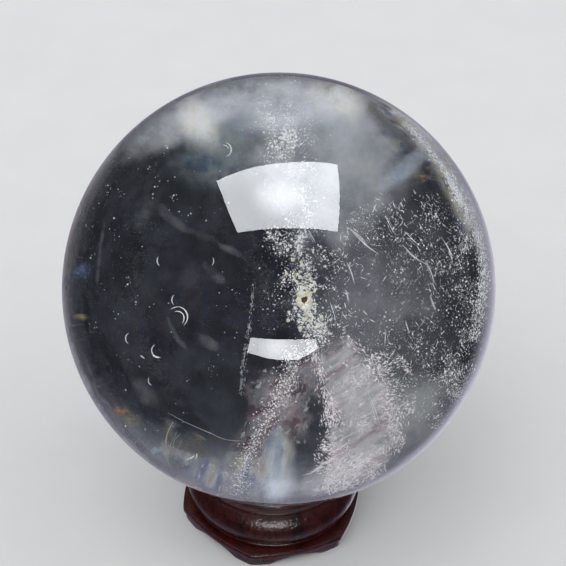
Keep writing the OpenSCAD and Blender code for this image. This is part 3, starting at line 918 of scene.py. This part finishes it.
make_ball()
make_central_veil()
make_wing_veil()
make_haze()
make_lower_cloud()
make_foot_shimmer()
make_right_side()
make_stray_specks()
make_soft_streaks()
make_needles()
make_crescents()
make_fractures()
make_grain()


# ---------------------------------------------------------------- the stand

ring_low, ring_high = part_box("seat_ring")
RING_FOOT = ring_low.z
LIP_Z = ring_high.z
SWELL_R = min(ring_high.x - ring_low.x, ring_high.y - ring_low.y) / 2
LIP_R = 15.2 * MM
HOLE_R = 11 * MM
SWELL_CURVE = 5 * MM
SWELL_Z = 8.1 * MM
BEAD_R = 0.5 * MM
NECK_CURVE = 3 * MM
SEAT_GAP = 0.15 * MM


def circle_x(z, centre_r, centre_z, radius, side=1):
    """Distance from the axis of a circle's outer (side 1) or inner (side -1) edge at height z."""
    inside_root = radius**2 - (z - centre_z) ** 2
    return np.where(inside_root > 0, centre_r + side * np.sqrt(np.maximum(inside_root, 0)), np.nan)


def ring_profile():
    """The turned ring's section, anticlockwise, as (distance from the axis, height) rows."""
    z = np.linspace(RING_FOOT, LIP_Z, 260)
    outer = np.full_like(z, LIP_R)
    for centre_r, centre_z, radius in (
        (SWELL_R - SWELL_CURVE, SWELL_Z, SWELL_CURVE),
        (LIP_R + 0.6 * MM, RING_FOOT + 0.55 * MM, BEAD_R),
        (LIP_R + 0.3 * MM, SWELL_Z + SWELL_CURVE - 0.3 * MM, BEAD_R),
    ):
        outer = np.fmax(outer, circle_x(z, centre_r, centre_z, radius))
    neck_z = (SWELL_Z + SWELL_CURVE + LIP_Z) / 2 - 0.5 * MM
    neck = circle_x(z, LIP_R - 1 * MM + NECK_CURVE, neck_z, NECK_CURVE, -1)
    outer = np.fmin(outer, np.where(z > SWELL_Z + SWELL_CURVE - 0.3 * MM, neck, np.nan))
    round_off = 0.45 * MM
    top = z > LIP_Z - round_off
    outer[top] -= round_off - np.sqrt(np.maximum(round_off**2 - (z[top] - LIP_Z + round_off) ** 2, 0))
    seat_r = R + SEAT_GAP
    rim_r = math.sqrt(seat_r**2 - (BALL[2] - LIP_Z) ** 2)
    dish = np.linspace(rim_r, HOLE_R, 14)
    dish_z = BALL[2] - np.sqrt(seat_r**2 - dish**2)
    recess_r, recess_z = 12.6 * MM, RING_FOOT + 2.1 * MM
    inner = [(HOLE_R, recess_z), (recess_r, recess_z), (recess_r, RING_FOOT)]
    return np.vstack([np.column_stack([outer, z]), np.column_stack([dish, dish_z]), inner])


def lathe(profile, sides):
    """Turns a closed section about the Z axis."""
    angle = np.arange(sides) * 2 * math.pi / sides
    r, z = profile[:, 0, None], np.repeat(profile[:, 1, None], sides, 1)
    points = np.stack([r * np.cos(angle), r * np.sin(angle), z], -1).reshape(-1, 3)
    return points, grid_faces(len(profile), sides, wrap_rows=True)


RING_WOOD = wood_material("lacquered_ring_wood", (0.009, 0.0008, 0.0005), (0.05, 0.0036, 0.0016),
                          (0, math.radians(90), 0))
points, faces = lathe(ring_profile(), 192)
ring = add_piece("turned_ring", points, faces, RING_WOOD, "stand", ["seat_ring"], smooth=True)

SIDE_ANGLE = 60
PLATE_TURN = 18.5  # degrees from the X axis to the first corner
CORNER_R = 18.9 * MM
SIDE_BOW = 1.2 * MM
FOOT_INSET = 0.6 * MM
RIM_T = 1.3 * MM
ARCH_H, ARCH_W = 1.4 * MM, 11 * MM
FOOT_RECESS_R = 14 * MM
PLATE_HOLE_R = 9 * MM
SPIGOT_R, SPIGOT_H = 12.5 * MM, 2 * MM


def side_turns(angle):
    """The turn in radians from each of the plate's six sides to the given angles."""
    middles = np.radians(PLATE_TURN + SIDE_ANGLE * (np.arange(6) + 0.5))
    return (angle[None] - middles[:, None] + math.pi) % (2 * math.pi) - math.pi


def plate_outline(angle, corner):
    """Distance from the axis to the edge of a six-sided slab: bowed sides, softened corners."""
    half_side = corner * math.sin(math.radians(SIDE_ANGLE / 2))
    side_r = (half_side**2 + SIDE_BOW**2) / (2 * SIDE_BOW)
    side_x = corner * math.cos(math.radians(SIDE_ANGLE / 2)) + SIDE_BOW - side_r
    turn = side_turns(angle)
    reach = side_x * np.cos(turn) + np.sqrt(side_r**2 - (side_x * np.sin(turn)) ** 2)
    reach = np.where(np.abs(turn) < math.radians(75), reach, np.inf)
    blend = 0.12 * MM
    return -blend * np.log(np.exp(-(reach - reach.min(0)) / blend).sum(0)) + reach.min(0)


def arch_height(r, angle):
    """Height of the plate's underside at distance r from the axis: 0 on the feet, higher between."""
    arch_r = ((ARCH_W / 2) ** 2 + ARCH_H**2) / (2 * ARCH_H)
    turn = side_turns(angle)
    turn = np.take_along_axis(turn, np.abs(turn).argmin(0)[None], 0)[0]
    across = np.abs(r * np.sin(turn))
    return np.maximum(np.sqrt(np.maximum(arch_r**2 - across**2, 0)) + ARCH_H - arch_r, 0)


def plate_mesh(sides=480):
    """The carved plate: a thin bowed rim on six bracket feet, with a spigot and a hole through it."""
    angle = np.arange(sides) * 2 * math.pi / sides
    top, rim_z = RING_FOOT, RING_FOOT - RIM_T
    rim, skirt = plate_outline(angle, CORNER_R), plate_outline(angle, CORNER_R - FOOT_INSET)
    soft, fine = 0.3 * MM, 0.12 * MM
    flat = np.ones(sides)
    foot = arch_height(skirt, angle)
    rows = [(PLATE_HOLE_R * flat, rim_z * flat), (FOOT_RECESS_R * flat, rim_z * flat),
            (FOOT_RECESS_R * flat, arch_height(FOOT_RECESS_R, angle)), (skirt - fine, foot),
            (skirt - 0.3 * fine, foot + 0.3 * fine), (skirt, foot + fine), (skirt, rim_z * flat),
            (rim - fine, rim_z * flat), (rim - 0.3 * fine, (rim_z + 0.3 * fine) * flat),
            (rim, (rim_z + fine) * flat)]
    for lift in np.radians(np.linspace(0, 90, 6)):
        rows.append((rim - soft + soft * math.cos(lift), (top - soft + soft * math.sin(lift)) * flat))
    rows += [((SPIGOT_R + 2 * MM) * flat, top * flat), (SPIGOT_R * flat, top * flat),
             (SPIGOT_R * flat, (top + SPIGOT_H) * flat), (PLATE_HOLE_R * flat, (top + SPIGOT_H) * flat)]
    rings = [np.stack([r * np.cos(angle), r * np.sin(angle), z], -1) for r, z in rows]
    return np.stack(rings).reshape(-1, 3), grid_faces(len(rows), sides, wrap_rows=True)


PLATE_WOOD = wood_material("lacquered_plate_wood", (0.01, 0.001, 0.0006), (0.056, 0.0046, 0.0018),
                           (0, math.radians(90), 0.4))
points, faces = plate_mesh()
plate = add_piece("carved_plate", points, faces, PLATE_WOOD, "stand", ["foot_plate"],
                  smooth=True)
for piece in (ring, plate):
    piece.data.set_sharp_from_angle(angle=math.radians(40))


# ---------------------------------------------------------------- stage, lights and camera

FLOOR_HALF = 4.0
FLOOR_TONE = 0.68
FLOOR_MOTTLE = 0.97
ROOM_R = 2.5
MIRROR_ROOM_R = 2.6


def floor_material():
    """Matt and pale, with the faintest mottle."""
    n = Nodes("pale_floor")
    tint = n.ramp(n.noise(60, 4), [(0.3, (FLOOR_MOTTLE * FLOOR_TONE,) * 3), (0.7, (FLOOR_TONE,) * 3)])
    return n.finish(n.out("BsdfPrincipled", "BSDF", {"Base Color": tint, "Roughness": 0.9}))


def add_stage(name, mesh, material, **visible):
    """A stage object, with the kinds of ray that see it or don't."""
    mesh.materials.append(material)
    o = bpy.data.objects.new(name, mesh)
    for key, value in visible.items():
        setattr(o, "visible_" + key, value)
    bpy.context.scene.collection.objects.link(o)
    return o


def flat_mesh(name, corners):
    mesh = bpy.data.meshes.new(name)
    mesh.from_pydata(corners, [], [list(range(len(corners)))])
    return mesh


floor_corners = [(FLOOR_HALF * x, FLOOR_HALF * y, 0) for x, y in ((-1, -1), (1, -1), (1, 1), (-1, 1))]
add_stage("floor", flat_mesh("floor", floor_corners), floor_material(), glossy=False, transmission=False)


def direction_patches(n, direction, patches, hues):
    """Soft lights by direction: (azimuth, elevation), half widths in degrees, strength, colour.

    Azimuths run from the far side (+Y) towards +X. A colour of None takes the hues given."""
    parts = n.add("SeparateXYZ", [direction]).outputs
    degree = 180 / math.pi
    azimuth = n.maths("MULTIPLY", n.maths("ARCTAN2", parts["X"], parts["Y"]), degree)
    elevation = n.maths("MULTIPLY", n.maths("ARCSINE", parts["Z"]), degree)
    total = None
    for (az, el), (half_az, half_el), strength, colour in patches:
        x = n.maths("DIVIDE", n.maths("SUBTRACT", azimuth, az), half_az)
        y = n.maths("DIVIDE", n.maths("SUBTRACT", elevation, el), half_el)
        reach = n.maths("SQRT", n.maths("ADD", n.maths("MULTIPLY", x, x), n.maths("MULTIPLY", y, y)))
        share = n.maths("MULTIPLY", n.stretch_range(n.maths("SUBTRACT", 1, reach), 0, 0.85), strength)
        patch = n.scaled(colour or hues, share)
        total = n.vectors("ADD", total, patch) if total else patch
    return total


def surround_material(name, bands, mottle, patches):
    """A surround seen only in or through polished surfaces: tones by height, with soft lights."""
    n = Nodes(name)
    direction = n.vectors("NORMALIZE", n.out("TexCoord", "Object"))
    height = n.out("SeparateXYZ", "Z", [direction])
    base = n.ramp(n.maths("ADD", n.maths("MULTIPLY", height, 0.5), 0.5), bands)
    cloudy = n.stretch_range(n.noise_at(direction, 9, 6, 0.65), 0.35, 0.7)
    tone = n.scaled(base, n.maths("ADD", n.maths("MULTIPLY", cloudy, mottle), 1 - mottle / 2))
    hues = n.ramp(n.noise_at(direction, 8, 3), [(0.3, (0.14, 0.18, 0.42)), (0.38, (0.55, 0.66, 0.8)),
            (0.46, (0.9, 0.92, 0.94)), (0.54, (0.8, 0.74, 0.55)), (0.6, (0.2, 0.24, 0.3)),
            (0.68, (0.6, 0.64, 0.8))])
    light = n.vectors("ADD", tone, direction_patches(n, direction, patches, hues))
    return n.finish(n.out("Emission", "Emission", [light]))


def add_surround(name, radius, bands, mottle, patches, **visible):
    """A big sphere round the ball that lights nothing."""
    mesh = bpy.data.meshes.new(name)
    bm = bmesh.new()
    bmesh.ops.create_uvsphere(bm, u_segments=64, v_segments=32, radius=radius)
    bm.to_mesh(mesh)
    bm.free()
    material = surround_material(name, bands, mottle, patches)
    o = add_stage(name, mesh, material, camera=False, diffuse=False, shadow=False, volume_scatter=False,
                  **visible)
    o.location = BALL


DIM = (0.019, 0.0215, 0.028)
dark_room = [(0.0, DIM), (0.44, DIM), (0.5, (0.05, 0.053, 0.064)), (0.6, (0.11, 0.115, 0.13)),
             (1.0, (0.03, 0.032, 0.036))]
far_lights = [
    ((-1, 13), (6, 23), 0.5, (0.82, 0.92, 1.0)), ((10, 12), (34, 24), 0.14, (0.8, 0.88, 1.0)),
    ((-14, 16), (12, 14), 0.25, (0.8, 0.85, 0.9)), ((-108, -52), (40, 20), 0.9, None),
    ((-80, -40), (20, 16), 0.7, None), ((-60, 15), (10, 10), 0.2, None),
]
add_surround("seen_through", ROOM_R, dark_room, 0.9, far_lights, glossy=False)
mirror_room = [(0.0, (0.34, 0.32, 0.4)), (0.06, (0.2, 0.19, 0.25)), (0.2, (0.02, 0.02, 0.026)),
               (1.0, (0.035, 0.035, 0.04))]
floor_lights = [((0, -35), (75, 50), 0.3, (0.85, 0.8, 1.0)), ((34, -42), (36, 32), 0.75, (0.82, 0.8, 0.95))]
add_surround("mirrored", MIRROR_ROOM_R, mirror_room, 0.3, floor_lights, transmission=False)

HOT_SPOT_REACH = 0.16
HOT_SPOT_GAIN = 0.5


def add_panel(name, corners, strength, hot_spot):
    """A soft panel that only shows as a highlight on polished surfaces, brightest at its hot spot."""
    n = Nodes(name)
    place = n.out("TexCoord", "Object")
    reach = n.out("VectorMath", "Value", (place, hot_spot), operation="DISTANCE")
    glow = n.maths("SUBTRACT", 1, n.stretch_range(reach, 0.0, HOT_SPOT_REACH))
    power = n.maths("MULTIPLY", n.maths("ADD", n.maths("MULTIPLY", glow, HOT_SPOT_GAIN), 1), strength)
    n.finish(n.out("Emission", "Emission", [(0.93, 0.96, 1.0, 1), power]))
    add_stage(name, flat_mesh(name, corners), n.material, camera=False, diffuse=False, transmission=False,
              shadow=False, volume_scatter=False)


PANEL_Z = BALL[2] + 0.6
top_corners = [(-0.33, 0.115), (-0.15, 0.145), (0.03, 0.172), (0.26, 0.235), (0.32, -0.19), (0.05, -0.215),
               (-0.24, -0.235)]
add_panel("top_panel", [(x, y, PANEL_Z) for x, y in top_corners], 12, (-0.02, -0.045, PANEL_Z))
PANEL_Y = -0.8
front_corners = [(-0.185, 0.28), (0.28, 0.28), (0.29, 0.2), (0.145, 0.13), (-0.04, 0.133), (-0.2, 0.167)]
add_panel("front_panel", [(x, PANEL_Y, z) for x, z in front_corners], 12, (0, PANEL_Y, 0.22))


def add_sun(name, direction, angle, strength):
    """A broad soft light from the given direction that isn't seen in the polished surfaces."""
    light = bpy.data.lights.new(name, "SUN")
    light.angle = math.radians(angle)
    light.energy = strength
    o = bpy.data.objects.new(name, light)
    o.rotation_euler = Vector(direction).to_track_quat("Z", "Y").to_euler()
    o.visible_glossy = False
    o.visible_transmission = False
    bpy.context.scene.collection.objects.link(o)


add_sun("key_light", (-0.35, -0.45, 1), 50, 1.5)
add_sun("right_light", (1, -0.2, 0.5), 40, 0.5)

world = bpy.data.worlds.new("pale_world")
world.use_nodes = True
world.node_tree.nodes["Background"].inputs["Color"].default_value = (0.97, 0.985, 1, 1)
world.node_tree.nodes["Background"].inputs["Strength"].default_value = 0.6
scene = bpy.context.scene
scene.world = world
scene.view_settings.view_transform = "Standard"
scene.cycles.max_bounces = 16
scene.cycles.transmission_bounces = 12
scene.cycles.transparent_max_bounces = 64
scene.cycles.caustics_refractive = False
scene.cycles.caustics_reflective = False

CAMERA_DISTANCE = 0.32
CAMERA_DOWN = math.radians(40)
CAMERA_ROLL = math.radians(2)
LENS = 109.6  # millimetres, on a 36 mm sensor
OFF_AXIS = (0.77 * MM, 1.16 * MM)  # the ball sits a little left of and below the middle of the frame


def make_camera():
    up = Vector((0, math.sin(CAMERA_DOWN), math.cos(CAMERA_DOWN)))
    back = Vector((0, -math.cos(CAMERA_DOWN), math.sin(CAMERA_DOWN)))
    right = Vector((1, 0, 0))
    c, s = math.cos(CAMERA_ROLL), math.sin(CAMERA_ROLL)
    rolled_right, rolled_up = c * right + s * up, c * up - s * right
    place = Vector(BALL) + CAMERA_DISTANCE * back + OFF_AXIS[0] * rolled_right + OFF_AXIS[1] * rolled_up
    turn = Matrix((rolled_right, rolled_up, back)).transposed().to_4x4()
    data = bpy.data.cameras.new("camera")
    data.sensor_width = 36
    data.lens = LENS
    data.clip_start, data.clip_end = 0.01, 30
    camera = bpy.data.objects.new("camera", data)
    camera.matrix_world = Matrix.Translation(place) @ turn
    scene.collection.objects.link(camera)
    scene.camera = camera


make_camera()
